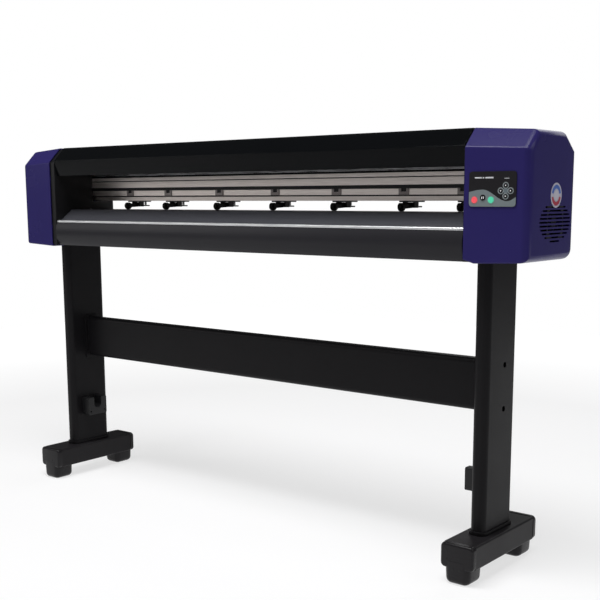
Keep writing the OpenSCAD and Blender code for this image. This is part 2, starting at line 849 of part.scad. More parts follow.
// The plate under the belt motor's pulley and the one that carries the feed motor
module motor_plates() {
  color("#8d8f94") {
    difference() {
      box([half_w - gb_end - 35, plate_y[1] + 1, gb_top],
          [belt_motor_x + 32, belt_y + 30, gb_top + motor_plate_t]);
      translate([belt_motor_x, belt_y, gb_top - overlap])
        cylinder(h = motor_plate_t + 2 * overlap, r = 2 * motor_shaft_r);
    }
    difference() {
      box([feed_plate_x, feed_motor_at[0] - 30, base_beam_top],
          [feed_plate_x + motor_plate_t, shaft_y + 24, shaft_z + 30]);
      rod_x(feed_plate_x - overlap, feed_plate_x + motor_plate_t + overlap, 2 * motor_shaft_r,
            feed_motor_at[0], feed_motor_at[1]);
      rod_x(feed_plate_x - overlap, feed_plate_x + motor_plate_t + overlap, shaft_r + 2,
            shaft_y, shaft_z);
    }
  }
}

module motor_pulley() {
  color("#b8b9bb") translate([belt_motor_x, belt_y, pulley_z])
    pulley(pulley_r, belt_w - 1, pulley_z - gb_top + motor_bore - 1);
}

module idler_post() {
  color("#8d8f94") translate([idler_x, belt_y, gb_top]) union() {
    cylinder(h = pulley_z - gb_top - 1, r = 10);
    cylinder(h = belt_w + 10, r = motor_shaft_r);
  }
}

module idler_pulley() {
  color("#b8b9bb") translate([idler_x, belt_y, pulley_z]) difference() {
    pulley(pulley_r, belt_w - 1, 0);
    translate([0, 0, -overlap]) cylinder(h = belt_w + 6, r = motor_shaft_r + running);
  }
}

// Media drive

module drive_shaft() {
  color("#9a9ca0") union() {
    rod_x(-bay_x - frame_t + 2, shaft_end, shaft_r, shaft_y, shaft_z);
    for (x = roller_x) rod_x(x - window_w / 2, x + window_w / 2, grit_r, shaft_y, shaft_z);
  }
}

module shaft_bearings() {
  color("#c9cacc") both_sides() difference() {
    rod_x(bay_x + 6, bay_x + 6 + bearing_w, bearing_r, shaft_y, shaft_z);
    rod_x(bay_x, bay_x + frame_t, shaft_r + running, shaft_y, shaft_z);
  }
}

// Rim of a toothed belt wheel with its two flanges, between z = -1 and the belt's width
module belt_wheel(r) {
  union() {
    cylinder(h = feed_belt_w + 2, r = r - passing);
    translate([0, 0, -1]) cylinder(h = 1, r = r + flange_lip);
    translate([0, 0, feed_belt_w + 2]) cylinder(h = 1, r = r + flange_lip);
  }
}

module feed_wheel() {
  color("#b8b9bb") translate([feed_wheel_x, shaft_y, shaft_z]) rotate([0, 90, 0]) difference() {
    belt_wheel(feed_wheel_r);
    translate([0, 0, -2]) cylinder(h = feed_belt_w + 6, r = shaft_r);
    for (a = [0 : 60 : 300]) rotate(a) translate([feed_wheel_r * 0.62, 0, -2])
      cylinder(h = feed_belt_w + 6, r = feed_wheel_r * 0.15);
  }
}

module feed_motor() {
  color("#303134") translate([feed_plate_x + motor_plate_t, feed_motor_at[0], feed_motor_at[1]])
    rotate([0, -90, 0]) stepper(motor_h - 4);
}

// The feed motor's pulley with the shaft that turns in the motor
module feed_pulley() {
  color("#b8b9bb") translate([feed_wheel_x, feed_motor_at[0], feed_motor_at[1]])
    rotate([0, 90, 0]) union() {
      belt_wheel(feed_pulley_r);
      translate([0, 0, -1])
        cylinder(h = feed_plate_x + motor_plate_t - feed_wheel_x + motor_bore, r = motor_shaft_r);
    }
}

// Outline of an open belt round two wheels, d apart
function belt_outline(r1, r2, d) =
  let (a = acos((r1 - r2) / d))
  concat(arc([0, 0], r1, a, 360 - a, 30), arc([d, 0], r2, -a, a, 20));

module feed_belt() {
  dy = feed_motor_at[0] - shaft_y;
  dz = feed_motor_at[1] - shaft_z;
  color("#222222") translate([feed_wheel_x + 1, shaft_y, shaft_z]) rotate([90, 0, 90])
    rotate(atan2(dz, dy)) linear_extrude(feed_belt_w) difference() {
      polygon(belt_outline(feed_wheel_r + belt_t, feed_pulley_r + belt_t, norm([dy, dz])));
      polygon(belt_outline(feed_wheel_r, feed_pulley_r, norm([dy, dz])));
    }
}

// Pinch units

// Square clips that show on the beam's face above each roller
module rail_clips() {
  slot = [clip_w / 2, clip_h - 7];
  color("#8e8a8c") for (x = roller_x)
    translate([x - clip_w / 2, gb_step2 - clip_t, gb_z + 17]) difference() {
      cube([clip_w, clip_t, clip_h]);
      translate([(clip_w - slot[0]) / 2, -overlap, clip_h - slot[1] + overlap])
        cube([slot[0], clip_t + 2 * overlap, slot[1]]);
    }
}

// A plate under the beam with two cheeks and the pin of the arm
module pinch_brackets() {
  color("#1a1a1c") for (x = roller_x) translate([x, 0, 0]) union() {
    box([-block_w / 2, gb_step3, gb_z - block_t], [block_w / 2, spring_y + 8, gb_z]);
    for (s = [-1, 1])
      box([s * (block_w - block_cheek) / 2 - block_cheek / 2, pivot_y - 10, pivot_z - 8],
          [s * (block_w - block_cheek) / 2 + block_cheek / 2, pivot_y + 10, gb_z]);
    rod_x(-block_w / 2, block_w / 2, pivot_r, pivot_y, pivot_z);
  }
}

// Coils between the bracket's plate and the arm's tail
module pinch_springs() {
  low = pivot_z - 7 + arm_tail_t + passing;
  pitch = (gb_z - block_t - low) / spring_n;
  color("#c9cacc") for (x = roller_x) translate([x, spring_y, low]) difference() {
    union() {
      cylinder(h = spring_n * pitch, r = spring_r - 0.5);
      for (i = [0 : spring_n - 1]) translate([0, 0, i * pitch]) cylinder(h = pitch / 2, r = spring_r);
    }
    translate([0, 0, -overlap]) cylinder(h = spring_n * pitch + overlap - 1, r = spring_r - 1.2);
  }
}

// A fork with the roller's axle, a pivot boss and a tail that its spring pulls up
module pinch_arms() {
  arm_x = roller_w / 2 + arm_gap;
  color("#1f1f22") for (x = roller_x) translate([x, 0, 0]) difference() {
    union() {
      for (s = [-1, 1])
        along_x(s * (arm_x + arm_t / 2) - arm_t / 2, s * (arm_x + arm_t / 2) + arm_t / 2)
          polygon([
            [shaft_y - 5, pinch_z - 5], [shaft_y + 5, pinch_z - 5],
            [pivot_y, pivot_z - 8], [pivot_y + 14, pivot_z - 7], [pivot_y + 14, pivot_z + 2],
            [pivot_y, pivot_z + 6], [shaft_y + 16, pinch_z + 7], [shaft_y - 5, pinch_z + 5]
          ]);
      rod_x(-arm_x - arm_t, arm_x + arm_t, axle_r, shaft_y, pinch_z);
      rod_x(-arm_x - arm_t, arm_x + arm_t, pivot_r + 3.5, pivot_y, pivot_z);
      box([-arm_x - arm_t, pivot_y + 6, pivot_z - 7],
          [arm_x + arm_t, pivot_y + arm_tail, pivot_z - 7 + arm_tail_t]);
    }
    rod_x(-arm_x - arm_t - overlap, arm_x + arm_t + overlap, pivot_r + running, pivot_y, pivot_z);
  }
}

module pinch_rollers() {
  color("#161616") for (x = roller_x) difference() {
    rod_x(x - roller_w / 2, x + roller_w / 2, pinch_r, shaft_y, pinch_z);
    rod_x(x - roller_w, x + roller_w, axle_r + running, shaft_y, pinch_z);
  }
}

// Control panel

module on_panel() {
  translate([panel_mid_x, panel_y, panel_mid_z]) rotate([0, 0, panel_tilt]) children();
}

// Round holes for the keys, centred on the cover's face
module key_holes(l, gap) {
  for (p = arrow_places) translate([p[0], 0, p[1]])
    rotate([90, 0, 0]) cylinder(h = l, r = key_r + gap, center = true);
  for (p = run_places) translate([p[0], 0, p[1]])
    rotate([90, 0, 0]) cylinder(h = l, r = run_key_r + gap, center = true);
}

module control_panel() {
  color("#26262c") on_panel() difference() {
    rotate([90, 0, 0]) linear_extrude(panel_t) round_rect([panel_w, panel_h], panel_corner_r);
    key_holes(4 * panel_t, running * 4);
  }
}

// A key's head stands out of the panel, and a collar behind it holds it in
module key(place, r, shade) {
  color(shade) on_panel() translate([place[0], key_back, place[1]]) rotate([90, 0, 0]) union() {
    cylinder(h = key_t + key_back, r = r);
    cylinder(h = key_back - passing / 2, r = r + key_collar);
  }
}

// A plain round plate let into the right cover's side, above the slots
module sticker_plate() {
  color("#d9dbe0") rod_x(half_w - disc_t, half_w, disc_r, disc_at[0], disc_at[1]);
}

// Electrics

// Control board on stand-offs and the power unit, both in the left cover
module electronics() {
  x = left_x - 10;
  color("#2f6b45") union() {
    box([x - 2, -108, platen_z + 12], [x, 22, platen_z + 142]);
    for (y = [-100, 14], z = [platen_z + 20, platen_z + 134]) rod_x(x, -bay_x - frame_web, 3, y, z);
  }
  color("#9a9ca0") box([left_x - 96, -70, base_beam_top], [left_x - 16, 60, base_beam_top + 44]);
}

// Places its children on the drafted back of the left cover
module on_rear() {
  x = inlet_at[0];
  y = half_d * (1 - (1 - draft) * (left_x - x) / left_cover_w) + 0.05;
  translate([x, y, inlet_at[1]]) rotate([0, 0, inlet_tilt]) children();
}

module inlet_hole() {
  box([-24, -10, -14.5], [rocker_at + rocker_half + 4, 10, 14.5]);
}

// Mains socket and switch housing with their flange on the back of the left cover
module power_inlet() {
  color("#1a1a1c") on_rear() difference() {
    union() {
      box([-34, 0, -20], [rocker_at + rocker_half + 9, 2, 20]);
      box([-23.5, -22, -14], [rocker_at + rocker_half + 3, 0, 14]);
    }
    box([-20, -16, -10], [20, 3, 10]);
    box([rocker_at - rocker_half - passing, -14, -12.5],
        [rocker_at + rocker_half + passing, 3, 12.5]);
    translate([rocker_at, -rocker_sink, 0])
      rod_x(-rocker_half - 2.5, rocker_half + 2.5, 2 + running, 0, 0);
  }
}

// A rocker on two stub pins, at rest with its upper end pressed in
module power_switch() {
  color("#b3242a") on_rear() translate([rocker_at, -rocker_sink, 0]) rotate([rocker_tilt, 0, 0])
    union() {
      along_x(-rocker_half, rocker_half)
        polygon([[8, -10.5], [6, 0], [8, 10.5], [5, 11], [-5, 7], [-5, -7], [5, -11]]);
      rod_x(-rocker_half - 2, rocker_half + 2, 2, 0, 0);
    }
}

// Square fan frame with struts, a hub and the rotor's pin
module fan_frame() {
  strut_t = 3;
  color("#1d1d20") union() {
    difference() {
      along_x(fan_x, fan_x + fan_t) translate(fan_mid) round_rect([fan_w, fan_w], 5);
      rod_x(fan_x - overlap, fan_x + fan_t + overlap, fan_bore_r, fan_mid[0], fan_mid[1]);
    }
    for (a = [45, 135]) translate([fan_x, fan_mid[0], fan_mid[1]]) rotate([a, 0, 0])
      translate([0, -strut_t, -fan_bore_r - 2]) cube([strut_t, 2 * strut_t, 2 * fan_bore_r + 4]);
    rod_x(fan_x, fan_x + strut_t, fan_hub_r + 2, fan_mid[0], fan_mid[1]);
    rod_x(fan_x, fan_x + 18, fan_pin_r, fan_mid[0], fan_mid[1]);
  }
}

module fan_rotor() {
  x0 = fan_x + 4;
  blade = [18, 2, fan_bore_r - fan_hub_r - 1];
  color("#2a2a2e") difference() {
    union() {
      rod_x(x0, x0 + 17, fan_hub_r, fan_mid[0], fan_mid[1]);
      for (i = [0 : fan_blade_n - 1])
        translate([x0 + 8.5, fan_mid[0], fan_mid[1]]) rotate([i * 360 / fan_blade_n, 0, 0])
          rotate([0, 0, 35]) translate([-blade.x / 2, -blade.y / 2, fan_hub_r - 2]) cube(blade);
    }
    rod_x(x0 - overlap, x0 + 15, fan_pin_r + running, fan_mid[0], fan_mid[1]);
  }
}

foot_tube(-leg_x);  // left_foot
foot_tube(leg_x);  // right_foot
foot_end_caps();
leg(-1);  // left_leg
leg(1);  // right_leg
crossbar();
roll_cradle(-1);  // left_roll_cradle
roll_cradle(1);  // right_roll_cradle
stand_bolts();
base_beam();
left_end_frame();
right_end_frame();
left_cover();
right_cover();
platen();
front_apron();
apron_trim();
rear_apron();
rear_cover();
guide_beam();
hood();
hood_hinge_pins();
linear_rail();
carriage();
carriage_cover();
tool_guide_pins();
tool_holder();
blade_holder();
tool_solenoid();
carriage_belt();
belt_motor();
motor_plates();
motor_pulley();
idler_post();
idler_pulley();
drive_shaft();
shaft_bearings();
feed_wheel();
feed_motor();
feed_pulley();
feed_belt();
rail_clips();
pinch_brackets();
pinch_springs();
pinch_arms();
pinch_rollers();
sticker_plate();
control_panel();
key(arrow_places[0], key_r, "#17171a");  // up_key
key(arrow_places[1], key_r, "#17171a");  // down_key
key(arrow_places[2], key_r, "#17171a");  // left_key
key(arrow_places[3], key_r, "#17171a");  // right_key
key(run_places[0], run_key_r, "#c8232c");  // stop_key
key(run_places[1], run_key_r, "#17171a");  // mode_key
key(run_places[2], run_key_r, "#2fae6b");  // start_key
electronics();
power_inlet();
power_switch();
fan_frame();
fan_rotor();
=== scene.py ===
import math
import bpy
import bmesh
from mathutils import Matrix, Vector
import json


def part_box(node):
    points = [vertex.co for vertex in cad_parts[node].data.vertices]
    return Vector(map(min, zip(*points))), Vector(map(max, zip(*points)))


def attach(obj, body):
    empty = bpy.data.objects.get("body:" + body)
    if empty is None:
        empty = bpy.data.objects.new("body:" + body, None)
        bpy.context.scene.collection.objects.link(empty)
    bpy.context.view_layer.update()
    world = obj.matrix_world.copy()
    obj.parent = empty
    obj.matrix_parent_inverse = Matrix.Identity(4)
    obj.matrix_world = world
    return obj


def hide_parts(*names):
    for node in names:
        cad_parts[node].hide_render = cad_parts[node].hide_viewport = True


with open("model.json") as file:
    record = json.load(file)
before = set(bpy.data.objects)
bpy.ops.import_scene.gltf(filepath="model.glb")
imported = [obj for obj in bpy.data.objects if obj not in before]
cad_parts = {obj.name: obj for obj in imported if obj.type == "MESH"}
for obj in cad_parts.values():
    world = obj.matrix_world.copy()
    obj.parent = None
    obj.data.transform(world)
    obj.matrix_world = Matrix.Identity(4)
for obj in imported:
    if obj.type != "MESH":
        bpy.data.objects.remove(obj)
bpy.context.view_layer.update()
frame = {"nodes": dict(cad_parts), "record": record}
nodes = frame["nodes"]
nodeSlot = {row["node"]: row["material_slot"] for row in frame["record"]["subparts"]}
print("frame loaded,", len(nodes), "nodes")

# Where the camera stands and looks: metres, degrees, millimetres of lens
camera = {
    "place": (2.139, -2.419, 1.0035),
    "yaw": 38.94,
    "pitch": 9.66,
    "roll": -0.2,
    "lens": 61.73,
    "shift": (-0.0033, 0.119),
}


def addCamera(c):
    data = bpy.data.cameras.new("camera")
    obj = bpy.data.objects.new("camera", data)
    bpy.context.scene.collection.objects.link(obj)
    yaw, pitch = math.radians(c["yaw"]), math.radians(c["pitch"])
    aim = Vector((-math.sin(yaw) * math.cos(pitch), math.cos(yaw) * math.cos(pitch), -math.sin(pitch)))
    turn = aim.to_track_quat("-Z", "Y").to_matrix().to_4x4()
    obj.matrix_world = (Matrix.Translation(c["place"]) @ turn
                        @ Matrix.Rotation(math.radians(c["roll"]), 4, "Z"))
    data.lens = c["lens"]
    data.shift_x, data.shift_y = c["shift"]
    bpy.context.scene.camera = obj


# name: place, aim, size across and up, watts, colour
softboxes = {
    "topBox": ((0.2, -1.2, 4.2), (0, 0, 0.9), 3.2, 1.6, 170, (1, 1, 1)),
    "leftBox": ((-3.4, -2.6, 2.4), (-0.3, 0, 0.8), 1.6, 2.2, 22, (1, 0.99, 0.97)),
    "rightBox": ((3.6, 0.6, 2.6), (0.6, 0, 0.8), 1.4, 2.0, 18, (0.97, 0.98, 1)),
    "backBox": ((0.0, 3.2, 2.6), (0, 0, 0.9), 3.0, 1.6, 20, (1, 1, 1)),
}


def addSoftbox(name, place, aim, across, up, watts, tint):
    light = bpy.data.lights.new(name, "AREA")
    light.shape, light.size, light.size_y = "RECTANGLE", across, up
    light.energy, light.color = watts, tint
    obj = bpy.data.objects.new(name, light)
    bpy.context.scene.collection.objects.link(obj)
    obj.matrix_world = (Matrix.Translation(place)
                        @ (Vector(aim) - Vector(place)).to_track_quat("-Z", "Y").to_matrix().to_4x4())


# Backdrop as seen, and the fill it gives the object at the horizon and from fadeTop upwards
studio = {"seen": 1.0, "low": 0.16, "high": 0.06, "fadeTop": 0.35}


def addStudio(s):
    world = bpy.data.worlds.new("studio")
    world.use_nodes = True
    tree = world.node_tree
    tree.nodes.clear()
    out = tree.nodes.new("ShaderNodeOutputWorld")
    seen, fill = tree.nodes.new("ShaderNodeBackground"), tree.nodes.new("ShaderNodeBackground")
    seen.inputs["Color"].default_value = (1, 1, 1, 1)
    seen.inputs["Strength"].default_value = s["seen"]
    place, split = tree.nodes.new("ShaderNodeTexCoord"), tree.nodes.new("ShaderNodeSeparateXYZ")
    ramp = tree.nodes.new("ShaderNodeValToRGB")
    ramp.color_ramp.elements[0].position, ramp.color_ramp.elements[1].position = 0.0, s["fadeTop"]
    for element, level in zip(ramp.color_ramp.elements, (s["low"], s["high"])):
        element.color = (level, level, level, 1)
    path, mix = tree.nodes.new("ShaderNodeLightPath"), tree.nodes.new("ShaderNodeMixShader")
    tree.links.new(place.outputs["Generated"], split.inputs[0])
    tree.links.new(split.outputs["Z"], ramp.inputs[0])
    tree.links.new(ramp.outputs["Color"], fill.inputs["Color"])
    tree.links.new(path.outputs["Is Camera Ray"], mix.inputs[0])
    tree.links.new(fill.outputs[0], mix.inputs[1])
    tree.links.new(seen.outputs[0], mix.inputs[2])
    tree.links.new(mix.outputs[0], out.inputs[0])
    bpy.context.scene.world = world
    bpy.context.scene.view_settings.view_transform = "Standard"


# How the finishes are made
def newMaterial(name, colour, rough, metal=0.0):
    mat = bpy.data.materials.new(name)
    mat.use_nodes = True
    tree = mat.node_tree
    shader = tree.nodes["Principled BSDF"]
    shader.inputs["Base Color"].default_value = (*colour, 1)
    shader.inputs["Roughness"].default_value = rough
    shader.inputs["Metallic"].default_value = metal
    return mat, tree, shader


def mappedNoise(tree, scale, stretch=(1, 1, 1), detail=4.0):
    place = tree.nodes.new("ShaderNodeTexCoord")
    mapping = tree.nodes.new("ShaderNodeMapping")
    mapping.inputs["Scale"].default_value = stretch
    noise = tree.nodes.new("ShaderNodeTexNoise")
    noise.inputs["Scale"].default_value = scale
    noise.inputs["Detail"].default_value = detail
    tree.links.new(place.outputs["Object"], mapping.inputs[0])
    tree.links.new(mapping.outputs[0], noise.inputs["Vector"])
    return noise.outputs["Fac"]


def band(tree, value, low, high, start=0.35, end=0.65):
    ramp = tree.nodes.new("ShaderNodeValToRGB")
    ramp.color_ramp.elements[0].position, ramp.color_ramp.elements[1].position = start, end
    ramp.color_ramp.elements[0].color = (*low, 1) if isinstance(low, tuple) else (low, low, low, 1)
    ramp.color_ramp.elements[1].color = (*high, 1) if isinstance(high, tuple) else (high, high, high, 1)
    tree.links.new(value, ramp.inputs[0])
    return ramp.outputs["Color"]


def addBump(tree, shader, value, strength, distance=0.0004):
    bump = tree.nodes.new("ShaderNodeBump")
    bump.inputs["Strength"].default_value = strength
    bump.inputs["Distance"].default_value = distance
    tree.links.new(value, bump.inputs["Height"])
    tree.links.new(bump.outputs[0], shader.inputs["Normal"])


def shade(colour, gain):
    return tuple(min(1, c * gain) for c in colour)


softBand = (0.2, 0.8)                            # where a soft tone change starts and ends
smearScale, smearStretch = 9, (1, 1, 1.6)        # smears run a little upwards
glossiest, coatRough = 0.03, 0.12


# Moulded or painted surface: patchy tone, a grain in the skin and smears in the gloss
def coated(name, colour, rough, grain=900, grainDepth=0.12, patch=4, spread=0.05, smear=0.03,
           coat=0.0, level=0.4):
    mat, tree, shader = newMaterial(name, colour, rough)
    tone = mappedNoise(tree, patch, detail=5)
    tree.links.new(band(tree, tone, shade(colour, 1 - spread), shade(colour, 1 + spread), *softBand),
                   shader.inputs["Base Color"])
    wipe = mappedNoise(tree, smearScale, smearStretch, detail=2)
    tree.links.new(band(tree, wipe, max(glossiest, rough - smear), rough + smear, *softBand),
                   shader.inputs["Roughness"])
    addBump(tree, shader, mappedNoise(tree, grain, detail=2), grainDepth)
    shader.inputs["Coat Weight"].default_value = coat
    shader.inputs["Coat Roughness"].default_value = coatRough
    shader.inputs["Specular IOR Level"].default_value = level
    return mat


drawnGloss, drawnDull, drawnRelief = 0.06, 0.08, 0.0002


# Metal drawn or ground along one axis
def drawn(name, colour, rough, along=(0.02, 1, 1), lines=700, depth=0.1, spread=0.1):
    mat, tree, shader = newMaterial(name, colour, rough, 1.0)
    streak = mappedNoise(tree, lines, along, detail=3)
    tree.links.new(band(tree, streak, shade(colour, 1 - spread), shade(colour, 1 + spread)),
                   shader.inputs["Base Color"])
    tree.links.new(band(tree, streak, rough - drawnGloss, rough + drawnDull), shader.inputs["Roughness"])
    addBump(tree, shader, streak, depth, drawnRelief)
    return mat


hoodOpacity = 0.95


# Smoked sheet that lets a little of the beam behind it through
def hoodSheet():
    mat = coated("hoodPlastic", (0.0030, 0.0034, 0.0040), 0.10, grain=260, grainDepth=0.01, patch=2,
                 spread=0.15, smear=0.02, level=0.06)
    mat.node_tree.nodes["Principled BSDF"].inputs["Alpha"].default_value = hoodOpacity
    return mat


# Translucent cap with a lamp behind it
def lit(name, colour, glow, strength):
    mat = coated(name, colour, 0.3, grain=1500, grainDepth=0.05, patch=200, spread=0.06)
    shader = mat.node_tree.nodes["Principled BSDF"]
    shader.inputs["Emission Color"].default_value = (*glow, 1)
    shader.inputs["Emission Strength"].default_value = strength
    return mat


# What each part of the machine is made of. A finish is made when it is first asked for
finishes = {
    "cover_plastic": lambda: coated("coverPlastic", (0.022, 0.017, 0.105), 0.26, grain=1400,
                                    grainDepth=0.03, coat=0.05, level=0.14),
    "hood_plastic": hoodSheet,
    "stand_paint": lambda: coated("standPaint", (0.0080, 0.0075, 0.0085), 0.40, grain=1600, grainDepth=0.25,
                                  spread=0.10, level=0.10),
    "foot_paint": lambda: coated("footPaint", (0.013, 0.012, 0.0135), 0.42, grain=1500, grainDepth=0.25,
                                 spread=0.10, level=0.14),
    "cap_plastic": lambda: coated("capPlastic", (0.013, 0.012, 0.0135), 0.28, grain=1100, grainDepth=0.15,
                                  spread=0.10, level=0.18),
    "frame_paint": lambda: coated("framePaint", (0.006, 0.006, 0.007), 0.4, grain=1500, grainDepth=0.25,
                                  level=0.25),
    "platen_paint": lambda: coated("platenPaint", (0.050, 0.051, 0.060), 0.34, grain=2200, grainDepth=0.35,
                                   patch=320, spread=0.25, level=0.35),
    "apron_paint": lambda: coated("apronPaint", (0.020, 0.0195, 0.023), 0.32, grain=1500, grainDepth=0.12,
                                  spread=0.06, level=0.14),
    "trim_aluminium": lambda: drawn("trimAluminium", (0.90, 0.91, 0.95), 0.36),
    "beam_aluminium": lambda: drawn("beamAluminium", (0.93, 0.84, 0.80), 0.42),
    "rail_steel": lambda: drawn("railSteel", (0.50, 0.50, 0.52), 0.28),
    "bolt_steel": lambda: drawn("boltSteel", (0.60, 0.60, 0.62), 0.22, (1, 1, 1), 500),
    "pulley_aluminium": lambda: drawn("pulleyAluminium", (0.62, 0.62, 0.64), 0.3, (1, 1, 0.1), 600),
    "black_plastic": lambda: coated("blackPlastic", (0.007, 0.007, 0.008), 0.42, grain=1300, grainDepth=0.2,
                                    level=0.3),
    "motor_black": lambda: coated("motorBlack", (0.020, 0.020, 0.023), 0.4, grain=1400, grainDepth=0.2),
    "roller_rubber": lambda: coated("rollerRubber", (0.006, 0.006, 0.006), 0.62, grain=1800, grainDepth=0.4,
                                    level=0.3),
    "belt_rubber": lambda: coated("beltRubber", (0.012, 0.012, 0.012), 0.66, grain=1800, grainDepth=0.4),
    "blade_brass": lambda: drawn("bladeBrass", (0.70, 0.48, 0.18), 0.25, (1, 1, 0.05), 600),
    "coil_varnish": lambda: coated("coilVarnish", (0.26, 0.09, 0.03), 0.25, coat=0.4),
    "panel_plastic": lambda: coated("panelFilm", (0.012, 0.011, 0.013), 0.32, grain=2200, grainDepth=0.08,
                                    level=0.3),
    "key_black": lambda: coated("keyBlack", (0.006, 0.006, 0.008), 0.35, level=0.3),
    "key_red": lambda: lit("keyRed", (0.70, 0.05, 0.07), (1.0, 0.16, 0.18), 0.35),
    "key_green": lambda: lit("keyGreen", (0.08, 0.55, 0.34), (0.12, 0.85, 0.50), 0.22),
    "board_green": lambda: coated("boardMask", (0.02, 0.13, 0.05), 0.35, grain=600, patch=90, spread=0.3),
    "label_film": lambda: coated("labelFilm", (0.46, 0.44, 0.52), 0.4, grain=2000, grainDepth=0.06,
                                 spread=0.03),
}
made = {}


def finish(slotName):
    if slotName not in made:
        made[slotName] = finishes[slotName]()
    return made[slotName]


def dressFrame():
    for name, obj in nodes.items():
        for place in obj.material_slots:
            place.material = finish(nodeSlot[name])
        if not obj.material_slots:
            obj.data.materials.append(finish(nodeSlot[name]))


# Vertices this close are one, angles in degrees below which faces are merged or shaded smoothly
meshCare = {"merge": 2e-5, "flat": 0.6, "smooth": 35}


def bodyOf(node):
    for name, members in frame["record"]["behaviour"]["bodies"].items():
        if node in members:
            return name


def newPiece(name, bm, body, slotName, material=None):
    smooth = math.radians(meshCare["smooth"])
    bmesh.ops.recalc_face_normals(bm, faces=bm.faces)
    for face in bm.faces:
        face.smooth = True
    for edge in bm.edges:
        edge.smooth = not edge.is_manifold or edge.calc_face_angle(0) < smooth
    mesh = bpy.data.meshes.new(name)
    bm.to_mesh(mesh)
    bm.free()
    obj = bpy.data.objects.new(name, mesh)
    bpy.context.scene.collection.objects.link(obj)
    mesh.materials.append(material or finish(slotName))
    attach(obj, body)
    return obj


# A merged copy of a frame node with its sharp edges broken, or only those that chosen picks
def softened(node, name, width, segments=2, sharp=40, chosen=None):
    bm = bmesh.new()
    bm.from_mesh(nodes[node].data)
    bmesh.ops.remove_doubles(bm, verts=bm.verts, dist=meshCare["merge"])
    bmesh.ops.dissolve_limit(bm, angle_limit=math.radians(meshCare["flat"]), verts=bm.verts, edges=bm.edges)
    bmesh.ops.recalc_face_normals(bm, faces=bm.faces)
    edges = [e for e in bm.edges if e.is_manifold and e.calc_face_angle(0) > math.radians(sharp)
             and (chosen is None or chosen(e))]
    bmesh.ops.bevel(bm, geom=edges, offset=width, offset_type="OFFSET", segments=segments, profile=0.5,
                    affect="EDGES", clamp_overlap=False, material=-1)
    bmesh.ops.triangulate(bm, faces=[f for f in bm.faces if len(f.verts) > 4])
    piece = newPiece(name, bm, bodyOf(node), nodeSlot[node])
    piece.modifiers.new("even", "WEIGHTED_NORMAL").keep_sharp = True
    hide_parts(node)
    return piece


# Low and high corners of a node, as vectors
def cornersOf(node):
    low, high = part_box(node)
    return Vector(low), Vector(high)


# A block between two corners
def block(bm, low, high):
    low, high = Vector(low), Vector(high)
    new = bmesh.ops.create_cube(bm, size=1.0)["verts"]
    bmesh.ops.scale(bm, vec=high - low, verts=new)
    bmesh.ops.translate(bm, vec=(low + high) / 2, verts=new)


# Pale paper sweep that glows more, between two distances, towards its far edge
floorLook = {"half": 4.6, "colour": (0.30, 0.30, 0.305), "rough": 0.9, "glowFrom": 2.2, "glowTo": 4.4,
             "glowNear": 0.68, "glowFar": 1.0, "grain": 60, "relief": 0.02}


def addFloor(f):
    bm = bmesh.new()
    bmesh.ops.create_grid(bm, x_segments=1, y_segments=1, size=f["half"])
    mesh = bpy.data.meshes.new("floor")
    bm.to_mesh(mesh)
    bm.free()
    floor = bpy.data.objects.new("floor", mesh)
    bpy.context.scene.collection.objects.link(floor)
    paper, tree, shader = newMaterial("floorPaper", f["colour"], f["rough"])
    shader.inputs["Emission Color"].default_value = (1, 1, 1, 1)
    place, reach = tree.nodes.new("ShaderNodeTexCoord"), tree.nodes.new("ShaderNodeVectorMath")
    reach.operation = "LENGTH"
    glow = tree.nodes.new("ShaderNodeMapRange")
    for socket, key in (("From Min", "glowFrom"), ("From Max", "glowTo"),
                        ("To Min", "glowNear"), ("To Max", "glowFar")):
        glow.inputs[socket].default_value = f[key]
    tree.links.new(place.outputs["Object"], reach.inputs[0])
    tree.links.new(reach.outputs["Value"], glow.inputs["Value"])
    tree.links.new(glow.outputs["Result"], shader.inputs["Emission Strength"])
    addBump(tree, shader, mappedNoise(tree, f["grain"]), f["relief"])
    mesh.materials.append(paper)


addCamera(camera)
for boxName, values in softboxes.items():
    addSoftbox(boxName, *values)
addStudio(studio)
addFloor(floorLook)
print("camera, light and floor set")

dressFrame()
print("frame finishes set")

# node: name of the finished piece, width of its broken edges
edgeWidths = {
    "left_leg": ("leftLegTube", 0.0008), "right_leg": ("rightLegTube", 0.0008),
    "left_foot": ("leftFootTube", 0.0008), "right_foot": ("rightFootTube", 0.0008),
    "crossbar": ("crossbarTube", 0.0008),
    "left_end_frame": ("leftEndFrame", 0.0008), "right_end_frame": ("rightEndFrame", 0.0008),
    "platen": ("platenBed", 0.0006), "apron_trim": ("apronTrim", 0.0008),
    "guide_beam": ("guideBeam", 0.0004), "hood": ("hoodShell", 0.0012),
    "left_roll_cradle": ("leftRollCradle", 0.0012), "right_roll_cradle": ("rightRollCradle", 0.0012),
    "carriage_cover": ("carriageHousing", 0.0008),
}
for node, (pieceName, width) in edgeWidths.items():
    softened(node, pieceName, width)
print("edges of", len(edgeWidths), "nodes broken")

# End covers: only the long outer edges are rounded, the slots and holes stay crisp.
# A cover tapers about the height centre, to outerScale of its size at its outer end. The long
# edges run beyond back from the middle, within low of the bottom and within high of the top
coverEdges = {"round": 0.0035, "steps": 3, "sharp": 24, "back": 0.105, "low": 0.026, "high": 0.065,
              "outerScale": 0.951, "centre": 0.967, "near": 0.0025, "wall": 0.02, "across": 0.2,
              "shortest": 0.0015}


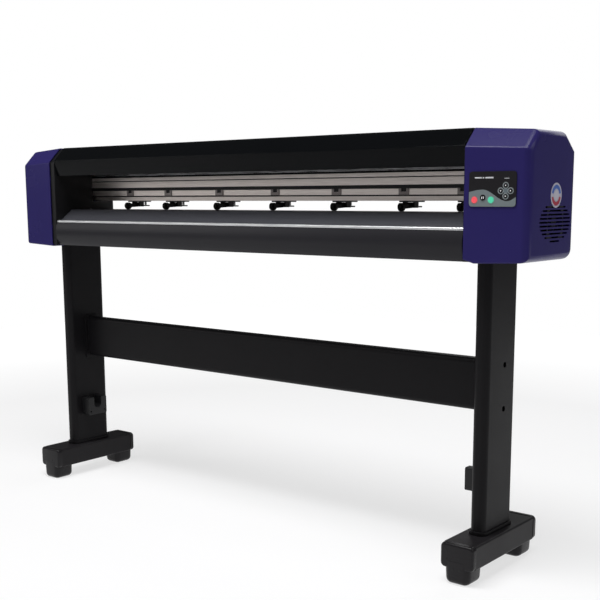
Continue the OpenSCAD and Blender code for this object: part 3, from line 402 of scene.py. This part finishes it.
def roundedCover(node, name, c):
    low, high = cornersOf(node)
    outer = high.x if high.x > 0 else low.x
    wide = high.x - low.x

    def longEdge(edge):
        a, b = edge.verts[0].co, edge.verts[1].co
        mid = (a + b) / 2
        reach = min(1, abs(outer - mid.x) / wide)
        shrink = c["outerScale"] + (1 - c["outerScale"]) * reach
        onSide = abs(mid.y) > c["back"]
        onTopOrBottom = mid.z > high.z - c["high"] or mid.z < low.z + c["low"]
        inside = abs(mid.y) < high.y * shrink - c["wall"] and not onTopOrBottom
        runsAcross = abs((b - a).normalized().x) > c["across"] and (b - a).length > c["shortest"]
        return (onSide or onTopOrBottom) and not inside and runsAcross \
            and onOuterSkin(mid, shrink, low, high, c)

    return softened(node, name, c["round"], c["steps"], c["sharp"], longEdge)


# True where a point lies on the tapered outer skin of a cover, not on its inner wall
def onOuterSkin(mid, shrink, low, high, c):
    top = c["centre"] + (high.z - c["centre"]) * shrink
    bottom = c["centre"] + (low.z - c["centre"]) * shrink
    gaps = (high.y * shrink - abs(mid.y), top - mid.z, mid.z - bottom)
    return min(gaps) < c["near"]


roundedCover("left_cover", "leftEndCover", coverEdges)
roundedCover("right_cover", "rightEndCover", coverEdges)
print("end covers rounded")

# Rounded caps on the feet, each with the bulging pad it stands on and, in its end, two small black discs as
# painted shade of two holes
footCap = {"over": 0.001, "deep": 0.018, "corner": 0.013, "cornerSteps": 5, "lip": 0.007, "lipSteps": 4,
           "padWide": 0.078, "padDeep": 0.076, "padTall": 0.062, "padProud": 0.0006, "padTaper": 0.90,
           "padCorner": 0.018, "padCornerSteps": 6, "padRound": 0.015, "padRoundSteps": 5,
           "hole": 0.0036, "holeUp": 0.0405, "holeOut": 0.0105, "holeDeep": 0.0018, "holeSides": 20}
onPlane = 1e-5                      # a vertex this near a plane lies on it
alongAxis = 0.9                     # an edge whose direction has this much of an axis runs along it


# Rounds the edges of a mesh that pick says yes to
def roundEdges(bm, width, segments, pick):
    bmesh.ops.bevel(bm, geom=[e for e in bm.edges if pick(e)], offset=width, offset_type="OFFSET",
                    segments=segments, profile=0.5, affect="EDGES", material=-1)


def addFootCap(bm, legX, end, c):
    tubeLow, tubeHigh = cornersOf("right_foot")
    side = 1 if end > 0 else -1
    half = (tubeHigh.x - tubeLow.x) / 2 + c["over"]
    part = bmesh.new()
    block(part, (legX - half, min(end, end - side * c["deep"]), tubeLow.z - c["over"]),
          (legX + half, max(end, end - side * c["deep"]), tubeHigh.z + c["over"]))
    roundEdges(part, c["corner"], c["cornerSteps"],
               lambda e: abs((e.verts[0].co - e.verts[1].co).normalized().y) > alongAxis)
    roundEdges(part, c["lip"], c["lipSteps"],
               lambda e: all(abs(v.co.y - end) < onPlane for v in e.verts))
    joinInto(bm, part)
    part = bmesh.new()
    front = end + side * c["padProud"]
    block(part, (legX - c["padWide"] / 2, min(front, end - side * c["padDeep"]), 0),
          (legX + c["padWide"] / 2, max(front, end - side * c["padDeep"]), c["padTall"]))
    for vert in part.verts:
        if vert.co.z < onPlane:
            vert.co.x = legX + (vert.co.x - legX) * c["padTaper"]
    roundEdges(part, c["padCorner"], c["padCornerSteps"],
               lambda e: abs((e.verts[0].co - e.verts[1].co).normalized().z) > alongAxis)
    roundEdges(part, c["padRound"], c["padRoundSteps"], lambda e: all(v.co.z < onPlane for v in e.verts))
    joinInto(bm, part)


def joinInto(bm, part):
    spare = bpy.data.meshes.new("spare")
    part.to_mesh(spare)
    part.free()
    bm.from_mesh(spare)
    bpy.data.meshes.remove(spare)


# Two short black cylinders on the cap's end, painted shade where its two holes are
def addCapHoleShade(bm, legX, end, c):
    for out in (-c["holeOut"], c["holeOut"]):
        at = Matrix.Translation((legX + out, end, c["holeUp"])) @ Matrix.Rotation(math.pi / 2, 4, "X")
        bmesh.ops.create_cone(bm, cap_ends=True, segments=c["holeSides"], radius1=c["hole"],
                              radius2=c["hole"], depth=c["holeDeep"], matrix=at)


capLow, capHigh = cornersOf("foot_end_caps")
legPlace = sum(v.x for v in cornersOf("right_leg")) / 2
capMesh, holeShadeMesh = bmesh.new(), bmesh.new()
for legX in (-legPlace, legPlace):
    for end in (capLow.y, capHigh.y):
        addFootCap(capMesh, legX, end, footCap)
        addCapHoleShade(holeShadeMesh, legX, end, footCap)
caps = newPiece("footCaps", capMesh, "frame", "cap_plastic")
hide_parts("foot_end_caps")
# The black discs are painted shade of the holes in the caps
newPiece("footCapHoleShade", holeShadeMesh, "frame", "black_plastic")
print("foot caps made")

# Black strips at the bottom of the beam's grooves, as painted shade in the grooves. groove: bottom, top,
# front face
beamGrooveShade = {
    "slot": (1.0246, 1.0344, 0.0415), "upperGroove": (1.0551, 1.0579, 0.0381),
    "lowerGroove": (1.0031, 1.0069, 0.0438), "railPocket": (1.0692, 1.0752, 0.0560),
}
grooveShadeFit = {"short": 0.002, "thick": 0.0015}      # how far it stops before the beam's ends


# Puts a thin black strip in each groove of the beam as painted shade
def addBeamGrooveShade(lines, c):
    low, high = cornersOf("guide_beam")
    bm = bmesh.new()
    for bottom, top, front in lines.values():
        block(bm, (low.x + c["short"], front, bottom), (high.x - c["short"], front + c["thick"], top))
    newPiece("beamGrooveShadeStrips", bm, "frame", "black_plastic")


addBeamGrooveShade(beamGrooveShade, grooveShadeFit)
clipLook = {"edge": 0.0004, "colour": (0.26, 0.235, 0.23), "rough": 0.42}
clipPiece = softened("rail_clips", "railClips", clipLook["edge"])
clipPiece.data.materials[0] = drawn("clipSteel", clipLook["colour"], clipLook["rough"])

# The dark window in each clip, and its thin frame
clipWindow = {"wide": 0.0155, "drop": 0.0095, "inset": 0.0012, "thick": 0.0012, "rim": 0.0003}


def addClipWindows(c):
    bm = bmesh.new()
    clips = bmesh.new()
    clips.from_mesh(nodes["rail_clips"].data)
    bmesh.ops.remove_doubles(clips, verts=clips.verts, dist=meshCare["merge"])
    top, face = max(v.co.z for v in clips.verts), min(v.co.y for v in clips.verts)
    places = sorted({round(v.co.x, 4) for v in clips.verts})
    clips.free()
    perClip = 4                                 # each clip has four upright edges across
    for start in range(0, len(places), perClip):
        middle = (places[start] + places[start + perClip - 1]) / 2
        block(bm, (middle - c["wide"] / 2, face + c["inset"], top - c["drop"]),
              (middle + c["wide"] / 2, face + c["inset"] + c["thick"], top - c["rim"]))
    newPiece("clipWindows", bm, "frame", "black_plastic")


addClipWindows(clipWindow)
print("beam shading and clip windows made")

# Printing and keys of the control panel. Places on the panel are across and up from its middle,
# and prints that cross each other are stacked a film's thickness apart
panel = {"wide": 0.128, "tall": 0.086, "thick": 0.002, "film": 0.00012}
panelLow, panelHigh = cornersOf("control_panel")
panelTilt = math.asin((panelHigh.y - panelLow.y - panel["thick"]) / panel["wide"])
panelOut = Vector((math.sin(panelTilt), -math.cos(panelTilt), 0))
panelPlace = (Matrix.Translation((panelLow + panelHigh) / 2 + panelOut * panel["thick"] / 2)
              @ Matrix.Rotation(panelTilt, 4, "Z") @ Matrix.Rotation(math.pi / 2, 4, "X"))


def printed(name, colour):
    return coated(name, colour, 0.35, grain=2200, grainDepth=0.05, patch=60)


inks = {
    "grey": printed("panelGrey", (0.165, 0.195, 0.205)), "ring": printed("panelRing", (0.23, 0.26, 0.27)),
    "pale": printed("panelPale", (0.62, 0.63, 0.66)), "cross": printed("panelCross", (0.12, 0.15, 0.17)),
    "redHalo": lit("redHalo", (0.45, 0.12, 0.13), (0.9, 0.2, 0.2), 0.12),
    "greenHalo": lit("greenHalo", (0.14, 0.36, 0.28), (0.2, 0.8, 0.5), 0.10),
    "mark": lit("keyMark", (0.75, 0.76, 0.78), (1, 1, 1), 0.15),
}

# Grey wave over the lower part of the film: crest and trough as (across, up), then its ends
wave = {"crest": (-0.026, -0.001), "trough": (0.040, -0.029), "leftDrop": 0.006, "rightRise": 0.011,
        "margin": 0.0008, "corner": 0.0078, "steps": 72}


def waveHeight(across, w):
    (crestAt, crest), (troughAt, trough) = w["crest"], w["trough"]
    if across < crestAt:
        turn = (crestAt - across) / (panel["wide"] / 2 + crestAt)
        return crest - w["leftDrop"] * (1 - math.cos(turn * math.pi / 2))
    if across > troughAt:
        turn = (across - troughAt) / (panel["wide"] / 2 - troughAt)
        return trough + w["rightRise"] * (1 - math.cos(turn * math.pi / 2))
    turn = (across - crestAt) / (troughAt - crestAt)
    return (crest + trough) / 2 + (crest - trough) / 2 * math.cos(turn * math.pi)


def addWave(w):
    bm = bmesh.new()
    half = panel["wide"] / 2 - w["margin"]
    bmesh.ops.create_grid(bm, x_segments=w["steps"], y_segments=1, size=1)
    for vert in bm.verts:
        upper = vert.co.y > 0
        across = vert.co.x * half
        inCorner = max(0, abs(across) - (half - w["corner"]))
        bottom = -panel["tall"] / 2 + w["margin"] + w["corner"] - math.sqrt(
            max(0, w["corner"] ** 2 - inCorner ** 2))
        vert.co = (across, waveHeight(across, w) if upper else bottom, panel["film"])
    bmesh.ops.transform(bm, matrix=panelPlace, verts=bm.verts)
    newPiece("panelWave", bm, "frame", "panel_plastic", inks["grey"])


roundSides, arrowSides = 48, 3


# A flat ring standing a little above the film
def ring(bm, across, up, inner, outer, rise):
    at = panelPlace @ Matrix.Translation((across, up, rise))
    rim = bmesh.ops.create_circle(bm, cap_ends=True, segments=roundSides, radius=outer, matrix=at)["verts"]
    face = rim[0].link_faces[0]
    bmesh.ops.inset_region(bm, faces=[face], thickness=outer - inner, use_boundary=True,
                           use_even_offset=True)
    bmesh.ops.delete(bm, geom=[face], context="FACES")


def disc(bm, across, up, radius, rise, segments=roundSides, place=panelPlace, turn=0.0):
    at = place @ Matrix.Translation((across, up, rise)) @ Matrix.Rotation(turn, 4, "Z")
    bmesh.ops.create_circle(bm, cap_ends=True, segments=segments, radius=radius, matrix=at)


def bar(bm, across, up, wide, tall, rise, place=panelPlace):
    at = place @ Matrix.Translation((across, up, rise)) @ Matrix.Diagonal((wide / 2, tall / 2, 1, 1))
    bmesh.ops.create_grid(bm, x_segments=1, y_segments=1, size=1, matrix=at)


# key: place across and up, way the arrow points in degrees
arrowKeys = {"up_key": (0.036, 0.009, 90), "down_key": (0.036, -0.017, 270),
             "left_key": (0.023, -0.004, 180), "right_key": (0.049, -0.004, 0)}
runKeys = {"stop_key": (-0.048, -0.026), "mode_key": (-0.025, -0.0205), "start_key": (-0.003, -0.026)}
keyLook = {"ringInner": 0.0057, "ringOuter": 0.0082, "proud": 0.0014, "arrow": 0.0024,
           "haloInner": 0.0075, "haloOuter": 0.0090, "edge": 0.0005, "plateEdge": 0.0004, "sharp": 60}
arrowCross = {"middle": (0.036, -0.004), "size": 0.0135}
# across, up, wide, tall
dashes = ((-0.0385, 0.028, 0.019, 0.0034), (-0.0245, 0.028, 0.004, 0.0034),
          (-0.0085, 0.028, 0.022, 0.0034), (0.0385, 0.026, 0.013, 0.0012))
pauseMark = {"out": 0.0022, "wide": 0.0017, "tall": 0.0052}


def addPanelPrint():
    addWave(wave)
    bm = bmesh.new()
    for across, up, _ in arrowKeys.values():
        ring(bm, across, up, keyLook["ringInner"], keyLook["ringOuter"], 3 * panel["film"])
    newPiece("arrowKeyRings", bm, "frame", "panel_plastic", inks["ring"])
    bm = bmesh.new()
    bar(bm, 0, 0, arrowCross["size"], arrowCross["size"], 2 * panel["film"],
        panelPlace @ Matrix.Translation((*arrowCross["middle"], 0)) @ Matrix.Rotation(math.pi / 4, 4, "Z"))
    newPiece("arrowKeyCross", bm, "frame", "panel_plastic", inks["cross"])
    for key, ink in (("stop_key", "redHalo"), ("start_key", "greenHalo")):
        bm = bmesh.new()
        ring(bm, *runKeys[key], keyLook["haloInner"], keyLook["haloOuter"], 2 * panel["film"])
        newPiece(ink, bm, "frame", "panel_plastic", inks[ink])
    bm = bmesh.new()
    for across, up, wide, tall in dashes:
        bar(bm, across, up, wide, tall, panel["film"])
    newPiece("panelDashes", bm, "frame", "panel_plastic", inks["pale"])


def addKeyMarks():
    for key, (across, up, way) in arrowKeys.items():
        bm = bmesh.new()
        disc(bm, across, up, keyLook["arrow"], keyLook["proud"] + panel["film"], arrowSides,
             turn=math.radians(way))
        newPiece(key + "Mark", bm, bodyOf(key), "key_black", inks["mark"])
    bm = bmesh.new()
    middle, up = runKeys["mode_key"]
    for side in (-1, 1):
        bar(bm, middle + side * pauseMark["out"], up, pauseMark["wide"], pauseMark["tall"],
            keyLook["proud"] + panel["film"])
    newPiece("modeKeyMark", bm, bodyOf("mode_key"), "key_black", inks["mark"])


addPanelPrint()
addKeyMarks()
for key in list(arrowKeys) + list(runKeys):
    softened(key, key.replace("_key", "KeyCap"), keyLook["edge"], sharp=keyLook["sharp"])
softened("control_panel", "panelPlate", keyLook["plateEdge"], sharp=keyLook["sharp"])
print("control panel printed")

# Plain two-tone badge on the right side, with no sign on it. Angles in degrees
badge = {"rise": 0.00025, "inner": 0.0165, "outer": 0.0260, "gap": 0.0035, "arc": 156, "steps": 32,
         "upperStart": 12, "lowerStart": 192, "blue": (0.055, 0.13, 0.42), "red": (0.36, 0.035, 0.06),
         "white": (0.50, 0.49, 0.56)}


def addBadge(b):
    low, high = cornersOf("sticker_plate")
    middle = Vector((high.x + b["rise"], (low.y + high.y) / 2, (low.z + high.z) / 2))
    upright = (Matrix.Translation(middle) @ Matrix.Rotation(math.pi / 2, 4, "Y")
               @ Matrix.Rotation(math.pi / 2, 4, "Z"))
    for name, colour, start in (("badgeUpperArc", b["blue"], b["upperStart"]),
                                ("badgeLowerArc", b["red"], b["lowerStart"])):
        bm = bmesh.new()
        ends = [bm.verts.new((b["inner"], 0, 0)), bm.verts.new((b["outer"], 0, 0))]
        line = bm.edges.new(ends)
        bmesh.ops.rotate(bm, cent=(0, 0, 0), matrix=Matrix.Rotation(math.radians(start), 3, "Z"), verts=ends)
        bmesh.ops.spin(bm, geom=ends + [line], cent=(0, 0, 0), axis=(0, 0, 1),
                       angle=math.radians(b["arc"]), steps=b["steps"], use_duplicate=False)
        bmesh.ops.transform(bm, matrix=upright, verts=bm.verts)
        newPiece(name, bm, "frame", "label_film", printed(name + "Ink", colour))
    bm = bmesh.new()
    disc(bm, 0, 0, b["inner"] - b["gap"], 0, place=upright)
    newPiece("badgeMiddle", bm, "frame", "label_film", printed("badgeMiddleInk", b["white"]))


addBadge(badge)
print("badge made")
